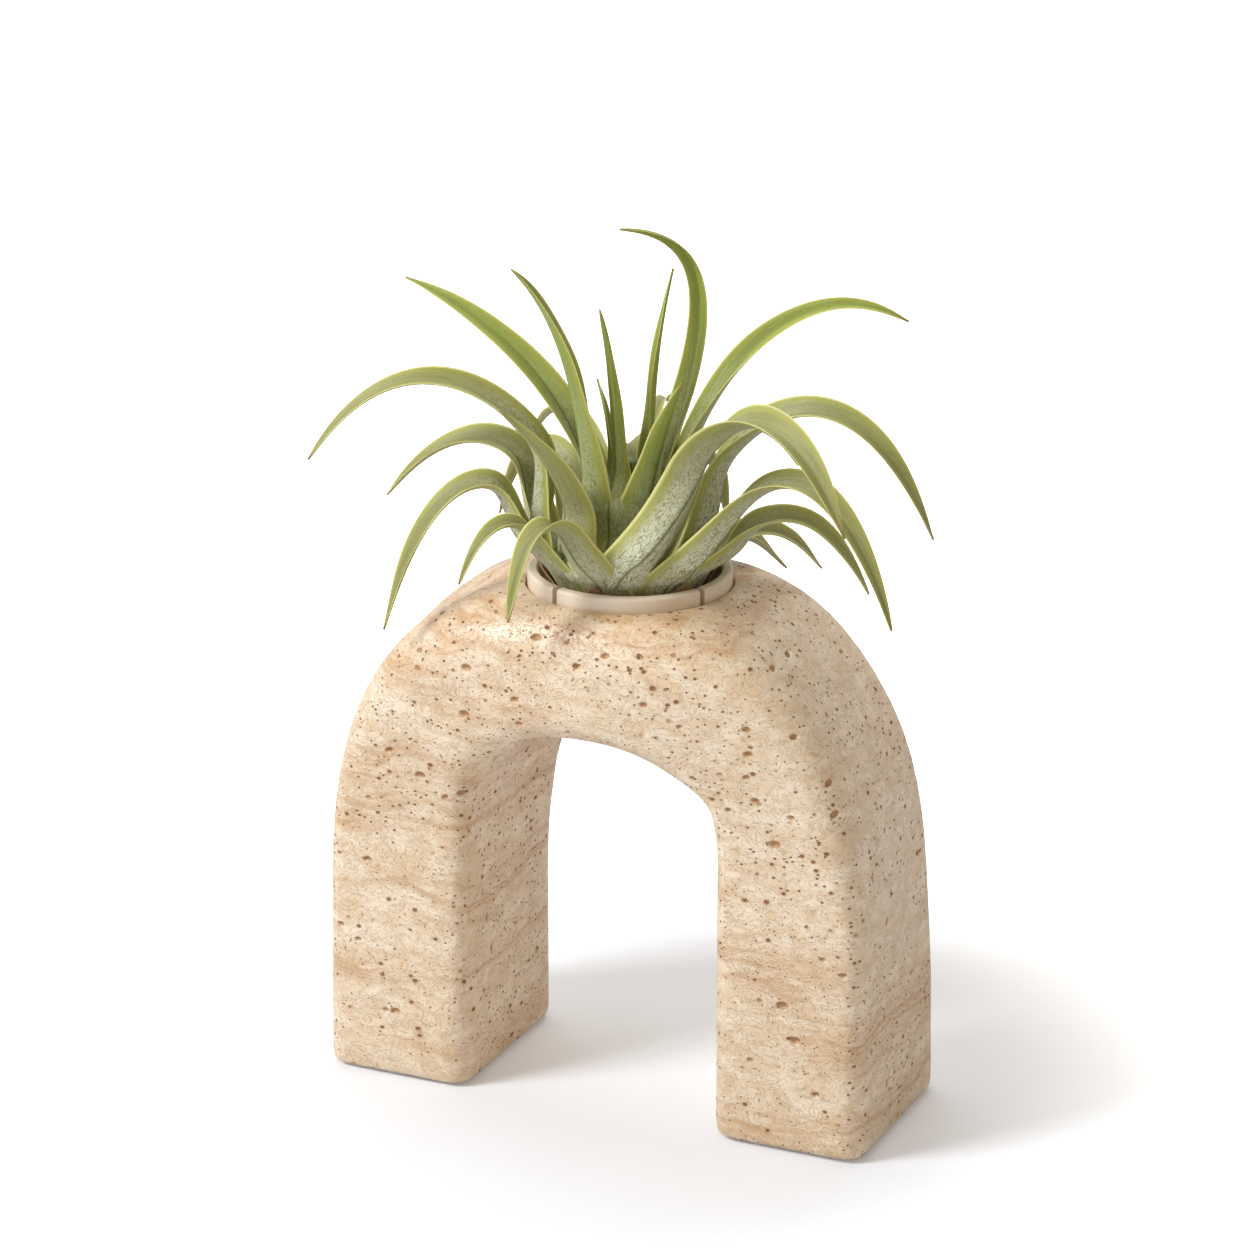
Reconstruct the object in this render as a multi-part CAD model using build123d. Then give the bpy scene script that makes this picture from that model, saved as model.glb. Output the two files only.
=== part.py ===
from build123d import *
import os
from math import cos, radians, sin, sqrt

# Air plant holder: a stone arch with a socket in its crown, a slitted collar that drops into the
# socket, and an air plant whose bulb sits in the collar.
# Millimetres, +Z up, X along the arch, Y to the back, origin at the middle of the footprint.

# Stone arch
arch_width = 143.0
arch_height = 129.4
leg_thickness = 39.0
leg_depth = 52.5
crown_thickness = 32.0
crown_swell = 2.6
crown_depth = 68.0
leg_edge_radius = 5.5
crown_edge_radius = 17.0
soffit_edge_radius = 9.0
outer_spring_height = 43.0
inner_spring_height = 68.0
leg_draft = 0.9
foot_edge_radius = 1.4

# Socket in the crown
socket_radius = 24.9
socket_depth = 7.3
recess_radius = 18.8
recess_depth = 7.2
notch_width = 1.7
notch_depth = 0.8
notch_height = 5.0

# Foot pads
pad_length = 40.0
pad_width = 27.0
pad_thickness = 1.6
pad_corner_radius = 4.0
pad_proud = 0.5
pad_clearance = 0.3

# Collar
collar_clearance = 0.3
collar_height = 10.8
collar_wall = 2.7
collar_floor = 2.7
spigot_length = 6.0
spigot_wall = 3.3
slit_width = 1.5
slit_depth = 1.6
slit_through_height = 3.2
slit_angle = 68.0
slit_count = 4
collar_edge_radius = 0.9

# Bulb of the air plant and the dry scales on it
bulb_radius = 20.9
bulb_shoulder_height = 15.5
bulb_neck_height = 41.0
bulb_neck_radius = 2.5
bulb_flank_radius = 14.5
bulb_flare_radius = 6.0
sheath_thickness = 1.0
sheath_gap = 0.2
sheath_count = 6
sheath_low = 3.0
sheath_waist = 10.5
sheath_tip = 16.4
sheath_spacing = 1.2
bulb_clearance = 0.3

# Leaves
leaf_reach = 75.0
leaf_rise = 90.0
leaf_width = 15.0
leaf_thickness = 1.5
leaf_cup = 2.0
leaf_seat_gap = 0.3
leaf_foot_share = 0.5

overrun = 1.0

# Powers of the superellipses that shape the two curves of the arch
outer_power = 2.55
inner_power = 2.3

# Cross-sections of the arch: one at the foot, then even steps of the quarter turn to the crown
turn_steps = 15

# Stations along a leaf's midrib, with width and thickness there as shares of their own.
leaf_section_shares = (
    (0.00, 0.74, 0.80),
    (0.06, 0.90, 0.92),
    (0.13, 0.98, 1.00),
    (0.21, 1.00, 0.98),
    (0.29, 0.97, 0.94),
    (0.37, 0.92, 0.90),
    (0.45, 0.85, 0.85),
    (0.53, 0.76, 0.79),
    (0.61, 0.66, 0.73),
    (0.69, 0.56, 0.67),
    (0.77, 0.45, 0.60),
    (0.85, 0.33, 0.52),
    (0.93, 0.20, 0.43),
    (1.00, 0.06, 0.32),
)

# Leaves, lowest ring first: name, compass angle in degrees, height of the seat as a share of the
# bulb's flank, two guide points and tip of the midrib as shares of leaf reach and leaf rise, and
# the width share.
leaf_shares = (
    ("leaf_front_hanging", -100, 0.10, (0.330, 0.330), (0.480, 0.340), (0.540, 0.070), 0.80),
    ("leaf_front_short", -126, 0.10, (0.340, 0.370), (0.520, 0.440), (0.620, 0.190), 0.66),
    ("leaf_left_drooping", -146, 0.20, (0.330, 0.500), (0.640, 0.560), (0.790, 0.010), 0.78),
    ("leaf_right_rear", 58, 0.10, (0.330, 0.230), (0.460, 0.240), (0.620, 0.050), 0.70),
    ("leaf_right_short", 36, 0.16, (0.310, 0.270), (0.480, 0.320), (0.630, 0.110), 0.62),
    ("leaf_right_low", 13, 0.18, (0.330, 0.330), (0.590, 0.470), (0.770, 0.120), 0.74),
    ("leaf_right_arched", -14, 0.24, (0.360, 0.440), (0.750, 0.760), (1.010, 0.150), 0.85),
    ("leaf_back_low_right", 82, 0.20, (0.330, 0.420), (0.560, 0.500), (0.620, 0.120), 0.80),
    ("leaf_back_low_middle", 114, 0.20, (0.330, 0.440), (0.560, 0.520), (0.660, 0.140), 0.80),
    ("leaf_back_low_left", 148, 0.20, (0.330, 0.440), (0.640, 0.520), (0.800, 0.120), 0.80),
    ("leaf_left_arched", 180, 0.28, (0.270, 0.500), (0.600, 0.600), (0.860, 0.260), 0.90),
    ("leaf_front_broad", -110, 0.40, (0.230, 0.450), (0.380, 0.560), (0.540, 0.660), 1.00),
    ("leaf_right_broad", -36, 0.40, (0.300, 0.570), (0.740, 0.880), (1.040, 0.400), 1.05),
    ("leaf_right_long", 2, 0.48, (0.270, 0.620), (0.750, 0.900), (1.010, 0.330), 0.85),
    ("leaf_left_long", -162, 0.48, (0.200, 0.690), (0.720, 0.900), (1.060, 0.440), 0.85),
    ("leaf_back_high_right", 62, 0.44, (0.260, 0.540), (0.520, 0.640), (0.700, 0.340), 0.72),
    ("leaf_back_high_middle", 98, 0.56, (0.240, 0.620), (0.460, 0.720), (0.620, 0.400), 0.66),
    ("leaf_back_high_left", 136, 0.44, (0.260, 0.540), (0.560, 0.640), (0.860, 0.320), 0.72),
    ("leaf_left_high", 174, 0.70, (0.160, 0.580), (0.430, 0.760), (0.760, 0.860), 0.72),
    ("leaf_left_crest", -128, 0.70, (0.120, 0.620), (0.210, 0.850), (0.370, 0.990), 0.70),
    ("leaf_right_high", 16, 0.70, (0.190, 0.660), (0.520, 1.020), (0.870, 0.850), 0.72),
    ("leaf_centre_lance", -42, 0.74, (0.160, 0.540), (0.260, 0.640), (0.380, 0.740), 0.55),
    ("leaf_centre_curled", 52, 0.80, (0.230, 0.660), (0.420, 1.010), (-0.030, 1.070), 0.45),
    ("leaf_centre_front", -90, 0.92, (0.060, 0.600), (0.080, 0.730), (0.120, 0.850), 0.36),
    ("leaf_centre_tall", 90, 0.92, (0.060, 0.640), (0.080, 0.800), (0.120, 0.940), 0.36),
    ("leaf_centre_bud", -176, 0.92, (0.060, 0.530), (0.080, 0.600), (0.110, 0.660), 0.34),
)

# Places that follow from the sizes above
stone_base_z = pad_proud
half_width = arch_width / 2
half_gap = half_width - leg_thickness
inner_top = arch_height - crown_thickness
swell_top = arch_height + crown_swell
ledge_z = arch_height - socket_depth
collar_radius = socket_radius - collar_clearance
spigot_radius = recess_radius - collar_clearance
cup_radius = collar_radius - collar_wall
spigot_bore_radius = spigot_radius - spigot_wall
shell_radius = bulb_radius + sheath_gap
sheath_radius = shell_radius + sheath_thickness
seat_rise = sheath_radius - sqrt(sheath_radius**2 - spigot_bore_radius**2)
plant_z = ledge_z + collar_floor + bulb_clearance - seat_rise
bulb_centre_z = plant_z + sheath_radius
shoulder_z = bulb_centre_z - bulb_radius + bulb_shoulder_height
shoulder_radius = sqrt(bulb_radius**2 - (bulb_radius - bulb_shoulder_height) ** 2)
neck_z = plant_z + bulb_neck_height

stand = (Align.CENTER, Align.CENTER, Align.MIN)
hang = (Align.CENTER, Align.CENTER, Align.MAX)
reach_out = (Align.MIN, Align.CENTER, Align.MIN)


def turn_point(spread, top, spring, power, turned):
    """One point of a quarter superellipse that rises from a spring line to the crown."""
    angle = radians(turned)
    across = spread * abs(cos(angle)) ** (2 / power)
    return across, spring + (top - spring) * sin(angle) ** (2 / power)


def arch_stations():
    """Inner and outer point of each cross-section from the right foot to the middle of the crown."""
    stations = [((half_gap, stone_base_z), (half_width, stone_base_z), 0)]
    for step in range(turn_steps + 1):
        turned = 90 * step / turn_steps
        outer = turn_point(half_width - leg_draft, swell_top, outer_spring_height, outer_power, turned)
        inner = turn_point(half_gap, inner_top, inner_spring_height, inner_power, turned)
        stations.append((inner, outer, step / turn_steps))
    return stations


def arch_section(inner, outer, climb):
    """Section between an inner and an outer point: deeper near the crown, and rounder on its top."""
    across = Vector(outer[0] - inner[0], 0, outer[1] - inner[1])
    middle = Vector((outer[0] + inner[0]) / 2, 0, (outer[1] + inner[1]) / 2)
    ease = climb * climb * (3 - 2 * climb)
    depth = leg_depth + (crown_depth - leg_depth) * ease
    outer_radius = leg_edge_radius + (crown_edge_radius - leg_edge_radius) * ease
    inner_radius = leg_edge_radius + (soffit_edge_radius - leg_edge_radius) * ease
    outline = Rectangle(across.length, depth)
    outline = fillet(outline.vertices().group_by(Axis.X)[0], inner_radius)
    outline = fillet(outline.vertices().group_by(Axis.X)[-1], outer_radius)
    return Plane(origin=middle, x_dir=across, z_dir=across.cross(Vector(0, 1, 0))) * outline


def make_arch():
    """The stone: one loft from foot to foot, a level land, then socket, notches and pad pockets."""
    right = arch_stations()
    left = [((-i[0], i[1]), (-o[0], o[1]), climb) for i, o, climb in reversed(right[:-1])]
    stone = loft([arch_section(*station) for station in right + left], ruled=True)
    feet = stone.faces().filter_by(Axis.Z)
    stone = fillet(feet.edges(), foot_edge_radius)
    stone -= Pos(0, 0, arch_height) * Box(arch_width, 2 * crown_depth, 2 * crown_swell, align=stand)
    socket = Pos(0, 0, ledge_z) * Cylinder(socket_radius, socket_depth + overrun, align=stand)
    recess = Pos(0, 0, ledge_z - recess_depth) * Cylinder(recess_radius, recess_depth + overrun, align=stand)
    stone = stone - socket - recess
    notch = Box(notch_depth + overrun, notch_width, notch_height + overrun, align=reach_out)
    for turned in (slit_angle, slit_angle + 90):
        stone -= Rot(0, 0, turned) * Pos(socket_radius - overrun, 0, arch_height - notch_height) * notch
    for side in (-1, 1):
        stone -= pad_place(side) * pad_block(pad_clearance, pad_thickness - pad_proud)
    return stone


def pad_place(side):
    return Pos(side * (half_width - leg_thickness / 2), 0, stone_base_z)


def pad_block(grow, height):
    outline = RectangleRounded(pad_width + 2 * grow, pad_length + 2 * grow, pad_corner_radius + grow)
    return extrude(outline, height)


def make_pad(side):
    """Thin pad let into the underside of one foot, standing a little proud of the stone."""
    return Pos(0, 0, -pad_proud) * pad_place(side) * pad_block(0, pad_thickness)


def make_collar():
    """Slitted ring: a tall band that seats on the ledge and a spigot that drops into the recess."""
    band = Cylinder(collar_radius, collar_height, align=stand)
    spigot = Cylinder(spigot_radius, spigot_length, align=hang)
    cup = Pos(0, 0, collar_floor) * Cylinder(cup_radius, collar_height, align=stand)
    bore = Cylinder(spigot_bore_radius, 2 * (collar_height + spigot_length))
    ring = band + spigot - cup - bore
    rims = ring.edges().filter_by(GeomType.CIRCLE).group_by(Axis.Z)
    ring = fillet(rims[-1] + rims[0], collar_edge_radius)
    for copy in range(slit_count):
        ring -= Rot(0, 0, slit_angle + copy * 360 / slit_count) * make_slit()
    return Pos(0, 0, ledge_z) * ring


def make_slit():
    """Cut of one slit: a groove down the outside of the band, right through it near the top."""
    groove = Box(slit_depth + overrun, slit_width, collar_height + overrun, align=reach_out)
    through = Box(collar_wall + 2 * overrun, slit_width, slit_through_height + overrun, align=reach_out)
    return (
        Pos(collar_radius - slit_depth, 0, 0) * groove
        + Pos(cup_radius - overrun, 0, collar_height - slit_through_height) * through
    )


def bulb_flank():
    """Outline of the bulb above its shoulder, where the leaves are seated."""
    return Bezier(
        Vector(shoulder_radius, 0, shoulder_z),
        Vector(bulb_flank_radius, 0, shoulder_z),
        Vector(bulb_flare_radius, 0, (shoulder_z + neck_z) / 2),
        Vector(bulb_neck_radius, 0, neck_z),
    )


def make_bulb():
    """Solid heart of the plant: a round bottom and a tapering neck."""
    bottom = Vector(0, 0, bulb_centre_z - bulb_radius)
    shoulder = Vector(shoulder_radius, 0, shoulder_z)
    low_z = (bottom.Z + shoulder_z) / 2
    low = Vector(sqrt(bulb_radius**2 - (bulb_centre_z - low_z) ** 2), 0, low_z)
    top = Vector(0, 0, neck_z)
    round_bottom = ThreePointArc(bottom, low, shoulder)
    flank = bulb_flank()
    outline = make_face([round_bottom, flank, Line(flank @ 1, top), Line(top, bottom)])
    return revolve(outline, Axis.Z)


def make_sheath(copy):
    """Dry scale: a pointed piece of a thin round shell that hugs the bulb."""
    half = radians(180 / sheath_count)
    low_radius = sqrt(sheath_radius**2 - (sheath_radius - sheath_low) ** 2)
    waist_radius = sqrt(sheath_radius**2 - (sheath_radius - sheath_waist) ** 2)
    low_half = low_radius * sin(half) - sheath_spacing
    waist_half = waist_radius * sin(half) - sheath_spacing
    outline = Plane.YZ * make_face(
        Polyline(
            (-low_half, sheath_low),
            (low_half, sheath_low),
            (waist_half, sheath_waist),
            (0, sheath_tip),
            (-waist_half, sheath_waist),
            close=True,
        )
    )
    prism = Pos(0, 0, plant_z) * extrude(outline, sheath_radius + overrun)
    shell = Pos(0, 0, bulb_centre_z) * (Sphere(sheath_radius) - Sphere(shell_radius))
    turned = (copy + 0.5) * 360 / sheath_count
    return Rot(0, 0, turned) * (shell & prism)


def leaf_place(turned, across, height):
    return Vector(across * cos(radians(turned)), across * sin(radians(turned)), height)


def leaf_midrib(turned, seat, guide_low, guide_high, tip):
    """Arched midrib in one upright plane, from above its seat on the bulb's flank to its tip."""
    flank = bulb_flank()
    foot = flank @ seat
    slope = flank % seat
    lift = leaf_cup + leaf_thickness / 2 + leaf_seat_gap
    places = [(foot.X + slope.Z * lift, foot.Z - slope.X * lift)]
    places += [(out * leaf_reach, plant_z + up * leaf_rise) for out, up in (guide_low, guide_high, tip)]
    return Bezier(*[leaf_place(turned, across, height) for across, height in places])


def leaf_foot(turned, seat, side, width):
    """Flat end of a leaf, square to the bulb's flank and just clear of it."""
    flank = bulb_flank()
    foot = flank @ seat
    slope = flank % seat
    centre = leaf_place(turned, foot.X + slope.Z * leaf_seat_gap, foot.Z - slope.X * leaf_seat_gap)
    square = leaf_place(turned, slope.Z, -slope.X)
    return leaf_section(centre, square, side, width * leaf_foot_share, leaf_thickness, 0)


def leaf_section(centre, along, side, width, thickness, cup):
    """Corners of the channel across a leaf: both faces dip to the midrib and meet at the two margins."""
    up = along.cross(side).normalized()
    left = centre - side * (width / 2)
    right = centre + side * (width / 2)
    under = centre - up * (cup + thickness / 2)
    over = centre - up * (cup - thickness / 2)
    return left, under, right, over


def blade_skin(sections):
    """Closed skin of flat faces from section to section, corner to matching corner."""
    skin = [make_face(Polyline(*corners, close=True)) for corners in (sections[0], sections[-1])]
    for near, far in zip(sections, sections[1:]):
        for corner in range(len(near)):
            skin.append(make_face(Polyline(near[corner - 1], near[corner], far[corner], close=True)))
            skin.append(make_face(Polyline(near[corner - 1], far[corner], far[corner - 1], close=True)))
    return skin


def make_leaf(turned, seat, guide_low, guide_high, tip, width_share):
    """Tapering channelled blade along its midrib."""
    midrib = leaf_midrib(turned, seat, guide_low, guide_high, tip)
    side = Vector(-sin(radians(turned)), cos(radians(turned)), 0)
    sections = [leaf_foot(turned, seat, side, leaf_width * width_share)]
    for share, wide, thick in leaf_section_shares:
        width = leaf_width * width_share * wide
        cup = leaf_cup * width_share * wide
        sections.append(leaf_section(midrib @ share, midrib % share, side, width, leaf_thickness * thick, cup))
    return Solid(Shell(blade_skin(sections)))


def write(name, solid):
    solid.label = name
    export_step(solid, os.path.join("parts", name + ".step"))
    print(name, round(solid.volume), solid.is_valid)


def main():
    os.makedirs("parts", exist_ok=True)
    write("arch_body", make_arch())
    for side, name in ((-1, "foot_pad_left"), (1, "foot_pad_right")):
        write(name, make_pad(side))
    write("retaining_collar", make_collar())
    write("plant_bulb", make_bulb())
    for copy in range(sheath_count):
        write("dry_scale_" + str(copy + 1), make_sheath(copy))
    for name, *form in leaf_shares:
        write(name, make_leaf(*form))


main()
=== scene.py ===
import bpy
import bmesh
import random
import numpy as np
from math import cos, pi, radians, sin, sqrt
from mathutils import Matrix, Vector
from mathutils.bvhtree import BVHTree


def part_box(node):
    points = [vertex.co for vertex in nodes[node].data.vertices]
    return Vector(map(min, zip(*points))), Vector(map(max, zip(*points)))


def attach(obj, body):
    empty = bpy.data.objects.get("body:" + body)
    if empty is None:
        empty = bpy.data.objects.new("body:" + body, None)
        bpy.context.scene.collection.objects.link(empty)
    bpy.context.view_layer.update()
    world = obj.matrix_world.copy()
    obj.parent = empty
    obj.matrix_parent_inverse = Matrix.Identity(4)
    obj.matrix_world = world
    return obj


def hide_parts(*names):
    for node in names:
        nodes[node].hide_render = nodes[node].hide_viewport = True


# Air plant holder: travertine arch, slitted cream collar and a grey-green air plant.
# Metres, same frame as the solids: X along the arch, Y to the back, Z up.

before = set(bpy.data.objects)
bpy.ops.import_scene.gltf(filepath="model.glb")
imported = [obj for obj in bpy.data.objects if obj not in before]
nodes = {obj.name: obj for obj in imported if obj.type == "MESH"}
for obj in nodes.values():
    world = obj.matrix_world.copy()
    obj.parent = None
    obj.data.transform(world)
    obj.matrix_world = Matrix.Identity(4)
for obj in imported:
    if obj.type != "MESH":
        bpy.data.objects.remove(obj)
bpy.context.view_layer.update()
scene = bpy.context.scene
rng = random.Random(7)

MM = 0.001
TINY = 1e-9

# Camera, set by the rim of the socket and the outline of the arch
PHOTO_PIXELS = 1254
SENSOR_WIDTH = 36.0
CAMERA_YAW = 24.4
CAMERA_PITCH = 19.3
CAMERA_DISTANCE = 1.107
FOCAL_PIXELS = 4570.0
LOOK_AT = Vector((-0.0055, 0.0103, 0.1133))

# Places read from the frame
stone_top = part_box("arch_body")[1].z
collar_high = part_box("retaining_collar")[1]
bulb_low, bulb_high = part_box("plant_bulb")
bulb_radius = (bulb_high.x - bulb_low.x) / 2

# Sizes of the plant, as in the solids
bulb_middle_rise = 20.9 * MM
bulb_shoulder_rise = 15.5 * MM
scale_cover = 1.2 * MM
leaf_reach = 75 * MM
leaf_rise = 90 * MM
leaf_width = 15 * MM
bulb_centre_z = bulb_low.z + bulb_middle_rise
plant_z = bulb_low.z - scale_cover


def tint(red, green, blue):
    """Linear colour of an 8-bit display colour."""
    channels = []
    for value in (red, green, blue):
        level = value / 255
        channels.append(level / 12.92 if level <= 0.04045 else ((level + 0.055) / 1.055) ** 2.4)
    return (*channels, 1.0)


# Shader building blocks

# Sockets of a Mix node that is set to colours
MIX_FACTOR = 0
MIX_UNDER = 6
MIX_OVER = 7
MIX_RESULT = 2


class Nodes:
    """Small helper that adds and wires nodes of one tree."""

    def __init__(self, tree):
        self.tree = tree

    def add(self, kind, **settings):
        node = self.tree.nodes.new(kind)
        for name, value in settings.items():
            setattr(node, name, value)
        return node

    def feed(self, socket, value):
        if isinstance(value, bpy.types.NodeSocket):
            self.tree.links.new(value, socket)
        else:
            socket.default_value = value

    def math(self, operation, *values):
        node = self.add("ShaderNodeMath", operation=operation)
        for socket, value in zip(node.inputs, values):
            self.feed(socket, value)
        return node.outputs[0]

    def times(self, first, second):
        return self.math("MULTIPLY", first, second)

    def mix(self, factor, under, over):
        node = self.add("ShaderNodeMix", data_type="RGBA")
        self.feed(node.inputs[MIX_FACTOR], factor)
        self.feed(node.inputs[MIX_UNDER], under)
        self.feed(node.inputs[MIX_OVER], over)
        return node.outputs[MIX_RESULT]

    def layer(self, colour, rows):
        """Lays colours over one another; each row is a mask, its strength and a colour."""
        for mask, strength, over in rows:
            colour = self.mix(self.times(mask, strength), colour, over)
        return colour

    def step(self, value, start, end, out_start=0.0, out_end=1.0):
        """Eased climb from one value to another, which may be the lower one."""
        node = self.add("ShaderNodeMapRange", interpolation_type="SMOOTHSTEP")
        for socket, item in zip(node.inputs, (value, start, end, out_start, out_end)):
            self.feed(socket, item)
        return node.outputs[0]

    def noise(self, vector, scale, detail=3.0, roughness=0.55, distortion=0.0):
        node = self.add("ShaderNodeTexNoise")
        self.feed(node.inputs["Vector"], vector)
        self.feed(node.inputs["Scale"], scale)
        self.feed(node.inputs["Detail"], detail)
        self.feed(node.inputs["Roughness"], roughness)
        self.feed(node.inputs["Distortion"], distortion)
        return node.outputs["Fac"]

    def curl_line(self, curl, level, width):
        """Thin line that follows one level of a noise."""
        off_level = self.math("ABSOLUTE", self.math("SUBTRACT", curl, level))
        return self.step(off_level, width, 0.0)

    def place(self):
        return self.add("ShaderNodeTexCoord").outputs["Object"]

    def stretch(self, vector, scale):
        node = self.add("ShaderNodeMapping")
        self.feed(node.inputs["Vector"], vector)
        node.inputs["Scale"].default_value = scale
        return node.outputs[0]

    def split(self, vector):
        node = self.add("ShaderNodeSeparateXYZ")
        self.feed(node.inputs[0], vector)
        return node.outputs

    def combine(self, x, y, z):
        node = self.add("ShaderNodeCombineXYZ")
        for socket, value in zip(node.inputs, (x, y, z)):
            self.feed(socket, value)
        return node.outputs[0]

    def length(self, vector):
        node = self.add("ShaderNodeVectorMath", operation="LENGTH")
        self.feed(node.inputs[0], vector)
        return node.outputs["Value"]

    def attribute(self, name):
        return self.add("ShaderNodeAttribute", attribute_name=name).outputs["Fac"]

    def bump(self, height, distance, strength=1.0):
        node = self.add("ShaderNodeBump")
        node.inputs["Strength"].default_value = strength
        node.inputs["Distance"].default_value = distance
        self.feed(node.inputs["Height"], height)
        return node.outputs[0]


def new_group(name, inputs, outputs):
    """Node group with named inputs (name, kind, default) and outputs (name, kind)."""
    group = bpy.data.node_groups.new(name, "ShaderNodeTree")
    for label, kind, default in inputs:
        socket = group.interface.new_socket(name=label, in_out="INPUT", socket_type=kind)
        if default is not None:
            socket.default_value = default
    for label, kind in outputs:
        group.interface.new_socket(name=label, in_out="OUTPUT", socket_type=kind)
    build = Nodes(group)
    return group, build, build.add("NodeGroupInput").outputs, build.add("NodeGroupOutput").inputs


def use_group(build, group, **values):
    node = build.add("ShaderNodeGroup", node_tree=group)
    for name, value in values.items():
        build.feed(node.inputs[name], value)
    return node.outputs


# Shader pits: the smallest as a share of the largest, then floor and rim as shares of a pit's radius
LEAST_PIT_SHARE = 0.3
PIT_FLOOR_SHARE = 0.55
PIT_RIM_SHARE = 1.6


def make_pit_group():
    """Round pits scattered in the cells of a stretched grid, some cells left whole."""
    group, build, given, result = new_group(
        "Stone Pits",
        [
            ("Vector", "NodeSocketVector", None),
            ("Scale", "NodeSocketFloat", 100.0),
            ("Size", "NodeSocketFloat", 0.3),
            ("Share", "NodeSocketFloat", 0.5),
        ],
        [("Pit", "NodeSocketFloat"), ("Rim", "NodeSocketFloat")],
    )
    cells = build.add("ShaderNodeTexVoronoi", feature="F1")
    build.feed(cells.inputs["Vector"], given["Vector"])
    build.feed(cells.inputs["Scale"], given["Scale"])
    cells.inputs["Randomness"].default_value = 1.0
    chance = build.add("ShaderNodeSeparateColor")
    build.feed(chance.inputs[0], cells.outputs["Color"])
    present = build.math("LESS_THAN", chance.outputs["Red"], given["Share"])
    grown = build.math("MULTIPLY_ADD", chance.outputs["Green"], 1 - LEAST_PIT_SHARE, LEAST_PIT_SHARE)
    radius = build.times(grown, given["Size"])
    pit = build.step(cells.outputs["Distance"], radius, build.times(radius, PIT_FLOOR_SHARE))
    rim = build.step(cells.outputs["Distance"], build.times(radius, PIT_RIM_SHARE), radius)
    build.feed(result["Pit"], build.times(pit, present))
    build.feed(result["Rim"], build.times(rim, present))
    return group


# Height of the bands' waves, and how fast the bands change along X as a share of how fast they do along Z
band_wave = 16 * MM
BAND_DRIFT_SHARE = 0.12


def make_strata_group():
    """Wavy level bands, each of its own strength, as travertine is laid down."""
    group, build, given, result = new_group(
        "Stone Strata",
        [("Vector", "NodeSocketVector", None)],
        [("Bands", "NodeSocketFloat"), ("Cloud", "NodeSocketFloat"), ("Grain", "NodeSocketFloat")],
    )
    place = given["Vector"]
    x, _, z = build.split(place)
    warp = build.noise(place, 26.0, roughness=0.6)
    level = build.math("MULTIPLY_ADD", warp, band_wave, z)
    line = build.combine(build.times(x, BAND_DRIFT_SHARE), 0.0, level)
    broad = build.step(build.noise(line, 62.0, detail=2.0, roughness=0.5), 0.46, 0.62)
    thin = build.step(build.noise(line, 430.0, roughness=0.65), 0.42, 0.66)
    layered = build.times(broad, build.math("MULTIPLY_ADD", thin, 0.75, 0.30))
    flat = build.stretch(place, (1.0, 1.0, 1.7))
    cloud = build.noise(flat, 130.0, detail=4.0, roughness=0.62, distortion=0.6)
    build.feed(result["Bands"], build.math("MULTIPLY_ADD", thin, 0.16, layered))
    build.feed(result["Cloud"], build.step(cloud, 0.36, 0.66))
    build.feed(result["Grain"], build.noise(place, 900.0, roughness=0.6))
    return group


def make_fleck_group():
    """Fine specks of even size, used for the collar's cast pores and the pads' rubber grain."""
    group, build, given, result = new_group(
        "Fine Flecks",
        [
            ("Vector", "NodeSocketVector", None),
            ("Scale", "NodeSocketFloat", 1500.0),
            ("Contrast", "NodeSocketFloat", 0.15),
        ],
        [("Flecks", "NodeSocketFloat")],
    )
    grain = build.noise(given["Vector"], given["Scale"], detail=2.0, roughness=0.6)
    low = build.math("SUBTRACT", 0.5, given["Contrast"])
    high = build.math("ADD", 0.5, given["Contrast"])
    build.feed(result["Flecks"], build.step(grain, low, high))
    return group


stone_pits = make_pit_group()
stone_strata = make_strata_group()
fine_flecks = make_fleck_group()


# Materials

def new_material(name, roughness, **constants):
    """Material with a Principled shader; constants go straight onto its sockets."""
    material = bpy.data.materials.new(name)
    material.use_nodes = True
    build = Nodes(material.node_tree)
    shader = material.node_tree.nodes["Principled BSDF"]
    shader.inputs["Roughness"].default_value = roughness
    for label, value in constants.items():
        shader.inputs[label.replace("_", " ")].default_value = value
    return material, build, shader


HONED_ROUGHNESS = 0.38
PIT_ROUGHNESS = 0.78
stone_relief = 0.5 * MM


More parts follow.
